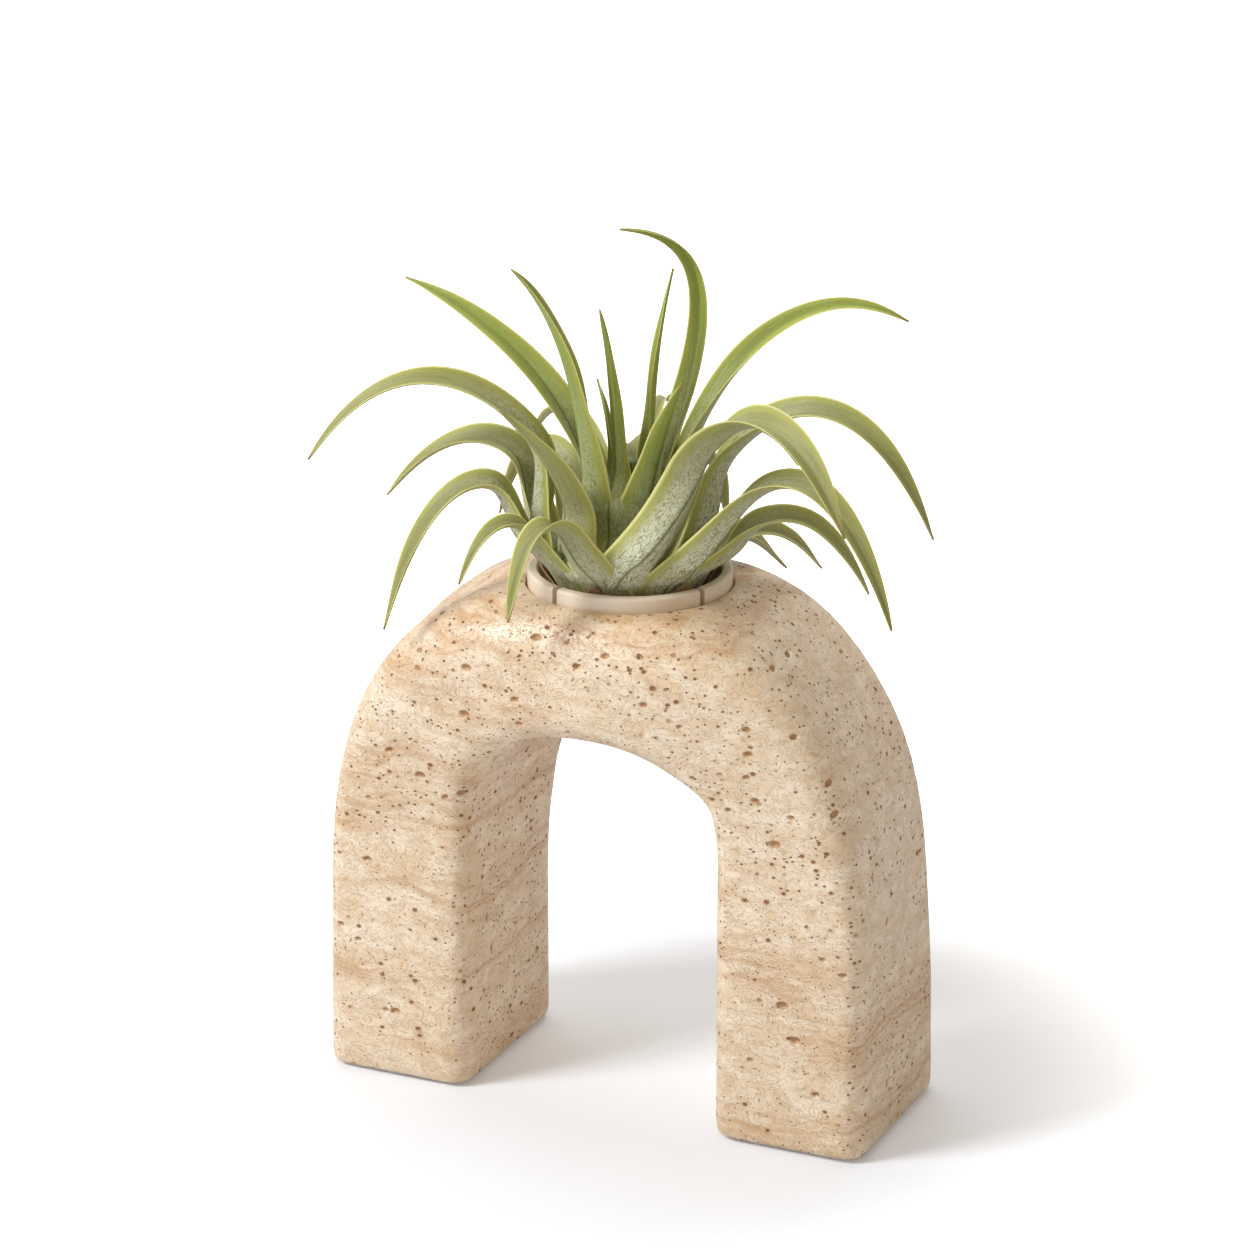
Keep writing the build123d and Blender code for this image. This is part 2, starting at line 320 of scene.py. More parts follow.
def make_travertine():
    """Honed travertine: cream cells with tan curls, wavy bands, chains of small brown pits."""
    material, build, shader = new_material("Honed Travertine", HONED_ROUGHNESS, Specular_IOR_Level=0.65)
    place = build.place()
    strata = use_group(build, stone_strata, Vector=place)
    flat = build.stretch(place, (1.0, 1.0, 1.4))
    specks = use_group(build, stone_pits, Vector=flat, Scale=640.0, Size=0.33, Share=0.62)
    small = use_group(build, stone_pits, Vector=flat, Scale=340.0, Size=0.27, Share=0.56)
    medium = use_group(build, stone_pits, Vector=flat, Scale=150.0, Size=0.15, Share=0.34)
    cluster = build.step(build.noise(build.stretch(place, (1.0, 1.0, 2.6)), 70.0), 0.30, 0.50)
    fine = build.times(build.math("MAXIMUM", specks["Pit"], small["Pit"]), cluster)
    pits = build.math("MAXIMUM", fine, medium["Pit"])
    rims = build.math("MAXIMUM", small["Rim"], medium["Rim"])
    wide_curl = build.noise(flat, 230.0, roughness=0.6, distortion=2.2)
    thin_curl = build.noise(flat, 520.0, detail=2.0, roughness=0.6, distortion=1.6)
    wide_line = build.curl_line(wide_curl, 0.5, 0.030)
    thin_line = build.curl_line(thin_curl, 0.5, 0.045)
    pale_line = build.curl_line(wide_curl, 0.56, 0.025)
    body = build.mix(strata["Cloud"], tint(233, 209, 176), tint(251, 237, 214))
    colour = build.layer(body, (
        (strata["Bands"], 0.80, tint(207, 167, 121)),
        (thin_line, 0.16, tint(188, 150, 108)),
        (wide_line, 0.42, tint(196, 152, 106)),
        (pale_line, 0.35, tint(250, 238, 220)),
        (strata["Grain"], 0.20, tint(190, 156, 118)),
        (rims, 0.25, tint(196, 148, 96)),
        (pits, 0.92, tint(144, 86, 34)),
        (build.attribute("pit_floor"), 0.85, tint(178, 126, 70)),
        # painted light: the socket's floors and wall made paler to lift the shade that falls inside the
        # socket
        (build.attribute("socket_painted_light"), 0.80, tint(255, 237, 210)),
    ))
    build.feed(shader.inputs["Base Color"], colour)
    rough = build.math("MULTIPLY_ADD", pits, PIT_ROUGHNESS - HONED_ROUGHNESS, HONED_ROUGHNESS)
    build.feed(shader.inputs["Roughness"], rough)
    lined = build.math("MULTIPLY_ADD", wide_line, -0.12, build.times(strata["Grain"], 0.08))
    height = build.math("SUBTRACT", lined, pits)
    build.feed(shader.inputs["Normal"], build.bump(height, stone_relief))
    return material


# Painted shade on the collar's inner wall: where it starts and is full, in from the outside and down from
# the top
shaded_wall_insets = (1.5 * MM, 2.4 * MM)
shaded_wall_drops = (0.4 * MM, 2.5 * MM)


def make_collar_finish():
    """Matte cream moulding with a faint cast grain, and painted shade in tan on the inner wall."""
    material, build, shader = new_material("Cream Collar", 0.50)
    place = build.place()
    flecks = use_group(build, fine_flecks, Vector=place, Scale=1400.0, Contrast=0.18)["Flecks"]
    mottle = build.noise(place, 180.0, roughness=0.6)
    x, y, z = build.split(place)
    off_axis = build.length(build.combine(x, y, 0.0))
    inside = build.step(off_axis, *(collar_high.x - inset for inset in shaded_wall_insets))
    below = build.step(z, *(collar_high.z - drop for drop in shaded_wall_drops))
    body = build.mix(mottle, tint(237, 224, 207), tint(230, 214, 194))
    colour = build.layer(body, (
        (flecks, 0.08, tint(208, 186, 158)),
        # painted shade: tan laid on the inner wall, where the bore lies in shade
        (build.times(inside, below), 0.30, tint(226, 196, 158)),
    ))
    build.feed(shader.inputs["Base Color"], colour)
    build.feed(shader.inputs["Normal"], build.bump(flecks, 0.06 * MM, 0.6))
    return material


def make_leaf_finish(name, young, mature, frost_amount):
    """Leaf: green body with silvery wrinkled frost low down, painted shade in the wrinkles' furrows and
    along the midrib groove, and bright margins.
    """
    material, build, shader = new_material(name, 0.50, Sheen_Weight=0.10, Sheen_Roughness=0.5)
    along = build.attribute("along")
    edge = build.math("ABSOLUTE", build.attribute("across"))
    run = build.attribute("run")
    span = build.attribute("span")
    tone = build.attribute("tone")
    place = build.combine(span, build.times(run, 0.42), build.times(tone, 50.0))
    wrinkle = build.noise(place, 1.5, roughness=0.62, distortion=1.8)
    grain = build.noise(place, 4.5, detail=2.0, roughness=0.6)
    streaks = build.noise(build.combine(span, build.times(run, 0.03), tone), 1.6, detail=2.0)
    cloud = build.noise(place, 0.14, detail=2.0)
    aged = build.math("MULTIPLY_ADD", tone, 0.45, build.times(cloud, 0.6))
    low_part = build.step(along, 0.72, 0.12)
    inner_part = build.step(edge, 0.96, 0.50)
    frost = build.times(build.times(low_part, inner_part), frost_amount)
    ridge = build.step(build.math("MULTIPLY_ADD", grain, 0.25, wrinkle), 0.50, 0.72)
    # painted shade: the wrinkles' furrows darkened where shade falls in them
    furrow_shade = build.step(wrinkle, 0.47, 0.35)
    # painted shade: a dark line along the midrib crease of the channel
    midrib_shade = build.times(build.step(edge, 0.075, 0.015), build.step(along, 0.95, 0.6))
    tip = build.step(build.math("MULTIPLY_ADD", cloud, 0.04, along), 0.97, 1.04)
    colour = build.layer(build.mix(aged, young, mature), (
        (build.step(streaks, 0.42, 0.66), 0.40, tint(104, 114, 40)),
        (frost, 0.65, tint(166, 169, 138)),
        (build.times(ridge, frost), 1.0, tint(224, 225, 204)),
        (build.times(furrow_shade, frost), 0.60, tint(84, 92, 44)),
        (midrib_shade, 0.75, tint(86, 100, 42)),
        (build.step(edge, 0.50, 0.86), 0.55, tint(174, 174, 72)),
        (build.step(edge, 0.88, 0.97), 0.75, tint(230, 227, 150)),
        (build.step(run, 10.0, 1.0), 0.55, tint(176, 152, 108)),
        (tip, 1.0, tint(160, 132, 76)),
    ))
    build.feed(shader.inputs["Base Color"], colour)
    ribs = build.math("MULTIPLY_ADD", wrinkle, 0.8, build.times(grain, 0.3))
    build.feed(shader.inputs["Normal"], build.bump(ribs, 0.22 * MM, 0.8))
    return material


def make_dry_scale_finish():
    """Papery dead scale: tan with brown fibres along it and a ragged darker edge."""
    material, build, shader = new_material("Dry Scale", 0.85)
    across = build.attribute("across")
    along = build.attribute("along")
    lines = build.combine(build.times(across, 14.0), build.times(along, 1.6), build.attribute("tone"))
    fibre = build.noise(lines, 2.0, detail=4.0, roughness=0.65)
    body = build.mix(build.step(fibre, 0.3, 0.7), tint(158, 122, 86), tint(206, 172, 134))
    rim = build.step(build.math("ABSOLUTE", across), 0.78, 1.0)
    build.feed(shader.inputs["Base Color"], build.layer(body, ((rim, 0.5, tint(138, 98, 62)),)))
    build.feed(shader.inputs["Normal"], build.bump(fibre, 0.3 * MM, 0.9))
    return material


def make_heart_finish():
    """Heart of the plant: pale green-brown, streaked upwards."""
    material, build, shader = new_material("Plant Heart", 0.75)
    upward = build.stretch(build.place(), (1.0, 1.0, 0.2))
    streak = build.noise(upward, 420.0, detail=4.0, roughness=0.6)
    body = build.mix(build.step(streak, 0.35, 0.68), tint(92, 106, 56), tint(140, 148, 96))
    build.feed(shader.inputs["Base Color"], body)
    build.feed(shader.inputs["Normal"], build.bump(streak, 0.4 * MM, 0.8))
    return material


def make_pad_finish():
    """Dark rubber foot pad with a fine grain."""
    material, build, shader = new_material("Foot Pad", 0.85)
    flecks = use_group(build, fine_flecks, Vector=build.place(), Scale=2200.0, Contrast=0.2)["Flecks"]
    build.feed(shader.inputs["Base Color"], build.mix(flecks, tint(84, 76, 66), tint(104, 96, 84)))
    build.feed(shader.inputs["Normal"], build.bump(flecks, 0.1 * MM, 0.6))
    return material


# Mesh helpers

def new_plant_piece(name, points, faces, material, stands_for):
    """Smooth mesh that rides on the plant and stands for one of its solids."""
    mesh = bpy.data.meshes.new(name)
    mesh.from_pydata([tuple(point) for point in points], [], faces)
    mesh.polygons.foreach_set("use_smooth", [True] * len(mesh.polygons))
    mesh.update()
    piece = bpy.data.objects.new(name, mesh)
    scene.collection.objects.link(piece)
    piece.data.materials.append(material)
    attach(piece, "plant")
    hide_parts(stands_for)
    return piece


def set_attribute(piece, name, values):
    layer = piece.data.attributes.new(name, "FLOAT", "POINT")
    layer.data.foreach_set("value", list(values))


def read_points(mesh):
    points = np.zeros(3 * len(mesh.vertices))
    mesh.vertices.foreach_get("co", points)
    return points.reshape(-1, 3)


def skin_faces(steps, columns):
    """Faces of a closed sheet of two layers: upper points row by row, then lower ones."""
    row = columns + 1
    count = (steps + 1) * row
    faces = []
    for step in range(steps):
        for place in range(columns):
            a = step * row + place
            faces.append((a, a + 1, a + row + 1, a + row))
            faces.append((count + a, count + a + row, count + a + row + 1, count + a + 1))
        for a in (step * row, step * row + columns):
            quad = (a, a + row, count + a + row, count + a)
            faces.append(quad if a % row == 0 else quad[::-1])
    last = steps * row
    for place in range(columns):
        faces.append((place, count + place, count + place + 1, place + 1))
        faces.append((last + place, last + place + 1, count + last + place + 1, count + last + place))
    return faces


def eased(values):
    """Values held between 0 and 1, with soft ends."""
    values = np.clip(values, 0, 1)
    return values * values * (3 - 2 * values)


def climb(values, start, length):
    """0 up to the start, 1 beyond the length that follows it."""
    return eased((values - start) / length)


def hump(values, middle, spread):
    """1 at the middle, falling away on both sides."""
    return np.exp(-(((values - middle) / spread) ** 2))


def bezier(points, share):
    a, b, c, d = (np.array(point, float) for point in points)
    rest = 1 - share
    return a * rest**3 + b * 3 * rest**2 * share + c * 3 * rest * share**2 + d * share**3


def resample(points, count):
    steps = np.linalg.norm(np.diff(points, axis=0), axis=1)
    travelled = np.concatenate([[0], np.cumsum(steps)])
    places = np.linspace(0, travelled[-1], count)
    return np.stack([np.interp(places, travelled, points[:, axis]) for axis in range(points.shape[1])], -1)


# Leaves

# Name, compass angle, seat share, guide points, tip and width share, which are the solids' own or moved from
# them towards the photograph, then the compass angle of the base on the bulb, the twist in degrees and the
# sideways sway as a share of the reach.
leaf_shares = (
    ("leaf_front_hanging", -108, 0.10, (0.34, 0.46), (0.52, 0.45), (0.575, 0.12), 0.85, -84, 6, 0.02),
    ("leaf_front_short", -126, 0.10, (0.34, 0.37), (0.52, 0.44), (0.62, 0.19), 0.66, -122, -10, 0.02),
    ("leaf_left_drooping", -146, 0.20, (0.33, 0.50), (0.64, 0.56), (0.79, 0.01), 0.78, -148, -20, -0.02),
    ("leaf_right_rear", 58, 0.10, (0.33, 0.23), (0.46, 0.24), (0.62, 0.05), 0.70, 46, 20, 0.02),
    ("leaf_right_short", 36, 0.16, (0.31, 0.27), (0.48, 0.32), (0.63, 0.11), 0.62, 16, 24, 0.01),
    ("leaf_right_low", 13, 0.18, (0.33, 0.33), (0.59, 0.47), (0.77, 0.12), 0.74, -10, 26, -0.02),
    ("leaf_right_arched", -14, 0.24, (0.36, 0.44), (0.75, 0.76), (1.01, 0.15), 0.85, -44, 24, 0.02),
    ("leaf_back_low_right", 82, 0.20, (0.33, 0.42), (0.56, 0.50), (0.62, 0.12), 0.80, 80, 8, 0.02),
    ("leaf_back_low_middle", 114, 0.20, (0.33, 0.44), (0.56, 0.52), (0.66, 0.14), 0.80, 114, -8, 0.02),
    ("leaf_back_low_left", 148, 0.20, (0.33, 0.44), (0.64, 0.52), (0.80, 0.12), 0.80, 150, -10, -0.02),
    ("leaf_left_arched", 180, 0.28, (0.27, 0.50), (0.60, 0.60), (0.86, 0.26), 0.90, 184, -24, 0.02),
    ("leaf_front_broad", -112, 0.40, (0.23, 0.45), (0.38, 0.58), (0.56, 0.68), 1.20, -112, -8, 0.02),
    ("leaf_right_broad", -28, 0.40, (0.25, 0.64), (0.74, 0.94), (1.06, 0.46), 1.30, -84, 12, -0.02),
    ("leaf_right_long", 2, 0.48, (0.27, 0.62), (0.75, 0.90), (1.01, 0.33), 0.95, -32, 26, 0.01),
    ("leaf_left_long", -162, 0.48, (0.24, 0.62), (0.72, 0.88), (1.03, 0.42), 0.85, -146, -26, 0.01),
    ("leaf_back_high_right", 62, 0.44, (0.26, 0.50), (0.52, 0.58), (0.70, 0.32), 0.60, 60, 10, 0.02),
    ("leaf_back_high_middle", 98, 0.50, (0.24, 0.54), (0.46, 0.63), (0.62, 0.38), 0.50, 98, -8, 0.02),
    ("leaf_back_high_left", 136, 0.44, (0.26, 0.50), (0.56, 0.59), (0.86, 0.31), 0.60, 138, -10, 0.02),
    ("leaf_left_high", 176, 0.70, (0.16, 0.58), (0.43, 0.79), (0.81, 0.86), 0.80, 174, -40, 0.02),
    ("leaf_left_crest", -132, 0.70, (0.12, 0.62), (0.22, 0.88), (0.40, 1.00), 0.95, -128, -24, 0.01),
    ("leaf_right_high", 16, 0.70, (0.19, 0.66), (0.52, 1.02), (0.87, 0.85), 0.72, 10, 44, 0.02),
    ("leaf_centre_lance", -42, 0.74, (0.16, 0.54), (0.26, 0.64), (0.38, 0.74), 0.80, -48, 12, 0.01),
    ("leaf_centre_curled", 52, 0.80, (0.23, 0.66), (0.42, 1.01), (-0.03, 1.07), 0.62, 40, 40, 0.02),
    ("leaf_centre_front", -110, 0.92, (0.06, 0.60), (0.09, 0.74), (0.14, 0.88), 0.42, -90, 10, 0.01),
    ("leaf_centre_tall", 50, 0.92, (0.06, 0.64), (0.09, 0.80), (0.15, 0.95), 0.50, 90, -12, 0.01),
    ("leaf_centre_bud", -176, 0.92, (0.06, 0.53), (0.08, 0.60), (0.11, 0.66), 0.34, -176, 0, 0.0),
)

# Leaves seated up to the first share are held as outer ones, above the second share they are young ones
OUTER_SEAT_SHARE = 0.30
YOUNG_SEAT_SHARE = 0.65

# Points along and across a blade, and points of the lines that lead to it
ALONG_STEPS = 48
ACROSS_STEPS = 14
FREE_POINTS = 120
HELD_POINTS = 30
LINE_POINTS = 150

# How a leaf is held against the bulb's side: first and last angle there in degrees, how many free points
# give way to that stretch, and how often the joined line is smoothed
OUTER_HOLD = (-68, -16, 42, 70)
INNER_HOLD = (-66, -22, 24, 50)

# The same for a young leaf, which starts low on the bulb's flank, and the length over which it is held
YOUNG_START_SHARE = 0.12
YOUNG_HELD_POINTS = 24
YOUNG_SKIPPED = 18
YOUNG_SMOOTHING = 20
young_held = 9 * MM

# Sizes on the bulb and on the leaf bases
shoulder_z = bulb_low.z + bulb_shoulder_rise
shoulder_radius = sqrt(bulb_radius**2 - (bulb_radius - bulb_shoulder_rise) ** 2)
flank_radius = 14.5 * MM
flare_radius = 6.0 * MM
neck_radius = 2.5 * MM
base_width = 16.5 * MM
base_swell = 13 * MM
base_taper = 6 * MM
wrap_length = 15 * MM
turn_length = 26 * MM
nest_tilt = 0.40 * MM
push_depth = 3 * MM

# Outline of a blade: where it starts to narrow and where its base is widest as shares of the held length,
# the two parts of its width, the width at its foot, and its widest base as a share of the radius there
NARROWING_START = 0.6
SWELL_MIDDLE = 0.8
BODY_SHARE = 0.60
FLARE_SHARE = 0.36
FOOT_SHARE = 0.3
WIDEST_BASE_SHARE = 0.62

# Course of a blade: where it starts to turn and lets go of the bulb as shares of the held length, where it
# twists as shares of its whole length, and how deep its channel is as a share of half its width
TURN_START = 0.4
WRAP_END = 0.85
TWIST_START = 0.15
TWIST_LENGTH = 0.5
CHANNEL_DEPTH = 0.80

# Thickness of a blade, fine form of its edges, and how many millimetres it lies off the bulb
TIP_THINNING = 0.6
BASE_THINNING = 0.65
half_thickness = 0.55 * MM
edge_thickness = 0.05 * MM
thin_length = 8 * MM
least_half_width = 0.12 * MM
edge_ripple = 0.16 * MM
OUTER_LIFTS = (0.50, 0.80)
INNER_LIFTS = (0.12, 0.30)

UP = np.array((0, 0, 1))


def flank_point(share):
    """Place on the bulb's flank between its shoulder and its neck, as (distance from axis, height)."""
    guides = (
        (shoulder_radius, shoulder_z),
        (flank_radius, shoulder_z),
        (flare_radius, (shoulder_z + bulb_high.z) / 2),
        (neck_radius, bulb_high.z),
    )
    return bezier(guides, share)


def smooth_line(points, passes):
    points = resample(points, LINE_POINTS)
    for _ in range(passes):
        points[1:-1] = points[1:-1] * 0.5 + (points[:-2] + points[2:]) * 0.25
    return points


def leaf_spine(seat, guide_low, guide_high, tip, lift):
    """Points along a leaf, up over the bulb's side and out in one sweep to its tip, and its held length."""
    ends = [(r * leaf_reach, plant_z + z * leaf_rise) for r, z in (guide_low, guide_high, tip)]
    free = [bezier([flank_point(seat), *ends], share) for share in np.linspace(0, 1, FREE_POINTS)]
    if seat > YOUNG_SEAT_SHARE:
        flank_shares = np.linspace(YOUNG_START_SHARE, seat, YOUNG_HELD_POINTS)
        hug = [flank_point(share) + (lift, 0) for share in flank_shares]
        return smooth_line(np.array(hug + free[YOUNG_SKIPPED:]), YOUNG_SMOOTHING), young_held
    low, high, skipped, passes = OUTER_HOLD if seat <= OUTER_SEAT_SHARE else INNER_HOLD
    reach = bulb_radius + lift
    angles = np.radians(np.linspace(low, high, HELD_POINTS))
    hug = [(reach * cos(angle), bulb_centre_z + reach * sin(angle)) for angle in angles]
    line = smooth_line(np.array(hug + free[skipped:]), passes)
    height = line[:, 1] - bulb_centre_z
    out = np.hypot(line[:, 0], height)
    push = np.where(height < -push_depth, np.maximum(reach / out, 1), 1)
    line = np.stack([line[:, 0] * push, bulb_centre_z + height * push], -1)
    return line, bulb_radius * radians(high - low)


def half_widths(run, held, radii, width):
    """Half the width along a leaf: wide where it is held, then tapering to a fine tip."""
    start = NARROWING_START * held
    free_run = np.clip((run - start) / (run[-1] - start), 0, 1)
    blade = width * (BODY_SHARE * (1 - free_run**3) ** 0.85 + FLARE_SHARE * (1 - free_run) ** 3.5)
    extra = max(base_width - width, 0)
    half = (blade + extra * hump(run, SWELL_MIDDLE * held, base_swell)) / 2 + least_half_width
    half = half * (FOOT_SHARE + (1 - FOOT_SHARE) * climb(run, 0, base_taper))
    return np.where(run < held, np.minimum(half, WIDEST_BASE_SHARE * radii), half)


def wrapped_base(half, radii, across, outward, side):
    """Offsets from the spine of a base that wraps the bulb, tilted so that neighbours nest."""
    circle = np.maximum(radii, half * 0.85)[:, None]
    angle = half[:, None] / circle * across
    out = circle * (np.cos(angle) - 1) + nest_tilt * across
    return out[..., None] * outward[:, None, :] + (circle * np.sin(angle))[..., None] * side[:, None, :]


def open_channel(half, share, across, phase, flat, rise):
    """Offsets from the spine of the free blade: a channel with slightly rippled edges."""
    cup = CHANNEL_DEPTH * half * (1.1 - 0.3 * share)
    ripple = edge_ripple * np.sin(share[:, None] * 19 + phase + 2.5 * across) * across**2
    dip = ripple - cup[:, None] * (1 - np.abs(across) ** 1.2)
    return (half[:, None] * across)[..., None] * flat[:, None, :] + dip[..., None] * rise[:, None, :]


def two_skins(sheet, thick):
    """Upper, then lower points of a sheet with the given half thickness."""
    normal = np.cross(np.gradient(sheet, axis=1), np.gradient(sheet, axis=0))
    normal /= np.linalg.norm(normal, axis=2)[..., None] + TINY**2
    offset = normal * thick[..., None]
    return np.concatenate([(sheet + offset).reshape(-1, 3), (sheet - offset).reshape(-1, 3)])


def make_leaf(row, material):
    """One blade: a wide base that wraps the bulb, then a channel that tapers to a fine tip."""
    name, turned, seat, guide_low, guide_high, tip, width_share, base_turned, twist, sway = row
    tone = rng.random()
    phase = rng.uniform(0, 2 * pi)
    lift = rng.uniform(*(OUTER_LIFTS if seat <= OUTER_SEAT_SHARE else INNER_LIFTS)) * MM
    line, held = leaf_spine(seat, guide_low, guide_high, tip, lift)
    spine = resample(line, ALONG_STEPS + 1)
    share = np.linspace(0, 1, ALONG_STEPS + 1)
    across = np.linspace(-1, 1, ACROSS_STEPS + 1)
    run = share * np.linalg.norm(np.diff(spine, axis=0), axis=1).sum()
    half = half_widths(run, held, spine[:, 0], leaf_width * width_share)

    # Directions along the leaf: outwards, sideways, and both turned with the blade's slope and twist
    base_shift = (base_turned - turned + 180) % 360 - 180
    bearing = np.radians(turned + base_shift * (1 - climb(run, TURN_START * held, held + turn_length)))
    outward = np.stack([np.cos(bearing), np.sin(bearing), np.zeros_like(bearing)], -1)
    side = np.stack([-np.sin(bearing), np.cos(bearing), np.zeros_like(bearing)], -1)
    slope = np.gradient(spine, axis=0)
    slope /= np.linalg.norm(slope, axis=1)[:, None]
    upper = slope[:, :1] * UP - slope[:, 1:] * outward
    turn = (np.radians(twist) * climb(share, TWIST_START, TWIST_LENGTH))[:, None]
    flat = side * np.cos(turn) + upper * np.sin(turn)
    rise = upper * np.cos(turn) - side * np.sin(turn)

    # Sheet through the middle of the blade, then its two skins
    sway_side = np.array((-sin(radians(turned)), cos(radians(turned)), 0))
    drift = (sway * leaf_reach * np.sin(share * 2.6) * share)[:, None]
    middle = spine[:, :1] * outward + spine[:, 1:] * UP + drift * sway_side
    wrap = (1 - climb(run, WRAP_END * held, wrap_length))[:, None, None]
    base = wrapped_base(half, spine[:, 0], across, outward, side)
    blade = open_channel(half, share, across, phase, flat, rise)
    sheet = middle[:, None, :] + base * wrap + blade * (1 - wrap)
    thick = half_thickness * (1 - TIP_THINNING * share)[:, None] * (1 - np.abs(across) ** 3) + edge_thickness
    thick = thick * (1 - BASE_THINNING * (1 - climb(run, 0, held + thin_length)))[:, None]
    faces = skin_faces(ALONG_STEPS, ACROSS_STEPS)
    piece = new_plant_piece("blade_" + name, two_skins(sheet, thick), faces, material, name)

    grid = np.ones_like(thick)
    for label, values in (
        ("across", grid * across),
        ("along", grid * share[:, None]),
        ("run", grid * run[:, None] / MM),
        ("span", half[:, None] * across / MM),
        ("tone", grid * tone),
    ):
        set_attribute(piece, label, np.tile(values.ravel(), 2))


# Dry scales on the bulb, with angles in degrees

SCALE_COUNT = 6
SCALE_STEPS = 18
SCALE_SPAN = 10
SCALE_START = -50
SCALE_END = -18
SCALE_WIDTH = 23
SCALE_TIP_WIDTH = 0.6
SCALE_RAGGEDNESS = 0.10
SCALE_LIFT_START = 0.6
scale_radius = 22.1 * MM
scale_thickness = 0.45 * MM
scale_tip_lift = 0.7 * MM
scale_ripple = 0.12 * MM


def make_dry_scale(name, turned, material):
    """Pointed papery scale that lies on the bulb, with a lifted, slightly ragged tip."""
    phase = rng.uniform(0, 6)
    tone = rng.random()
    skins = [[], []]
    shares = []
    spans = []
    for step in range(SCALE_STEPS + 1):
        share = step / SCALE_STEPS
        height = radians(SCALE_START + (SCALE_END - SCALE_START) * share)
        width = radians(SCALE_WIDTH) * (1 - share**1.5) ** 1.05 + radians(SCALE_TIP_WIDTH)
        lift = scale_tip_lift * climb(share, SCALE_LIFT_START, 1 - SCALE_LIFT_START)
        for place in range(SCALE_SPAN + 1):
            across = 2 * place / SCALE_SPAN - 1
            ragged = SCALE_RAGGEDNESS * sin(share * 17 + phase) * abs(across) * share
            angle = radians(turned) + across * width * (1 + ragged)
            curl = lift + scale_ripple * sin(across * 9 + phase) * share
            for skin, depth in zip(skins, (0, scale_thickness)):
                radius = scale_radius + curl - depth
                flat_radius = radius * cos(height)
                level = bulb_centre_z + radius * sin(height)
                skin.append((flat_radius * cos(angle), flat_radius * sin(angle), level))
            shares.append(share)
            spans.append(across)
    faces = skin_faces(SCALE_STEPS, SCALE_SPAN)
    piece = new_plant_piece("papery_" + name, skins[0] + skins[1], faces, material, name)
    set_attribute(piece, "across", spans * 2)
    set_attribute(piece, "along", shares * 2)
    set_attribute(piece, "tone", [tone] * (2 * len(spans)))


# Stone

# Even mesh of the stone, how often it is smoothed, and the distances from the socket at which that starts
# and over which it grows to full
STONE_SMOOTHING = 10
stone_voxel = 0.95 * MM
crisp_reach = 1.2 * MM
soft_reach = 3 * MM

# The socket: radii and depths as in the solids, then its narrow round rim and two softened notches
socket_radius = 24.9 * MM
socket_depth = 7.3 * MM
recess_radius = 18.8 * MM
recess_depth = 7.2 * MM
recess_floor_z = stone_top - socket_depth - recess_depth
rim_radius = 0.7 * MM
notch_depth = 0.9 * MM
notch_height = 5.0 * MM
notch_half_width = 0.5 * MM
notch_edge = 0.6 * MM
notch_angles = (68, 158)

# How far a meshed point may lie from the socket's surfaces and still be put back onto them, and how far from
# the ledge and the recess's corners that ends
wall_reach = 1.0 * MM
recess_reach = 0.6 * MM
ledge_gap = 0.5 * MM
corner_gap = 0.4 * MM

# Departures from the solid, in millimetres: the shoulders, the right side and the opening's upper corners
LEFT_SHOULDER_RISE = 2.5
LEFT_SHOULDER_SPREAD = 1.5
RIGHT_SHOULDER_DROP = 1.2
RIGHT_SIDE_TRIM = 1.2
RIGHT_CORNER_CUT = 2.2
LEFT_CORNER_FILL = 3.2

# Larger pits seen in the photograph: pixel across, pixel down, radius in millimetres, tilt degrees
seen_pits = (
    (536, 637, 1.5, 0), (605, 656, 1.3, 10), (640, 657, 1.1, 0), (466, 668, 1.7, 0), (419, 650, 1.2, 0),
    (788, 654, 1.6, 20), (773, 668, 1.5, 20), (514, 700, 1.3, 0), (464, 714, 1.7, 0), (643, 705, 1.2, 0),
    (746, 730, 1.3, 0), (794, 737, 1.3, 0), (748, 755, 1.5, 0), (827, 715, 1.0, 30), (829, 783, 1.5, 30),
    (835, 814, 1.6, 30), (755, 801, 1.3, 0), (774, 845, 1.9, 0), (420, 775, 1.6, 0), (462, 793, 1.5, 0),
    (445, 797, 1.1, 30), (389, 750, 1.3, 20), (519, 724, 1.2, 0), (679, 727, 1.0, 0), (727, 810, 1.1, 0),
    (791, 818, 1.1, 0), (873, 878, 1.4, 80), (892, 893, 1.4, 80), (487, 917, 1.4, 70), (492, 948, 1.6, 80),
    (537, 950, 1.3, 80), (341, 924, 1.2, 0), (367, 859, 1.4, 0), (358, 939, 1.1, 0), (395, 1011, 1.6, 0),
    (782, 1006, 1.9, 0), (795, 1041, 1.7, 0), (843, 976, 1.2, 0), (887, 1083, 1.3, 70), (815, 1095, 1.3, 0),
    (745, 901, 1.1, 0), (700, 880, 1.0, 0), (822, 960, 1.0, 0), (887, 922, 1.3, 60), (750, 1060, 1.0, 0),
)

# Share of that radius at which a seen pit is pressed in
PIT_WIDTH_SHARE = 0.70

# Pits scattered over the rest: their count, radii in millimetres and tilt, and how often one that falls on
# the photographed side is left out
SCATTERED_PITS = 150
SCATTERED_RADII = (0.55, 0.6, 0.7, 0.8, 1.0, 1.2)
SCATTERED_TILT = 0.3
SEEN_SIDE_LIMIT = 0.15
SEEN_SIDE_LEFT_OUT = 0.9

# Form of a pressed pit and the reach of its points, as shares of its radius
PIT_LENGTH_SHARE = 1.25
PIT_HEIGHT_SHARE = 0.8
PIT_DEPTH_SHARE = 0.75
PIT_REACH_SHARE = 1.8

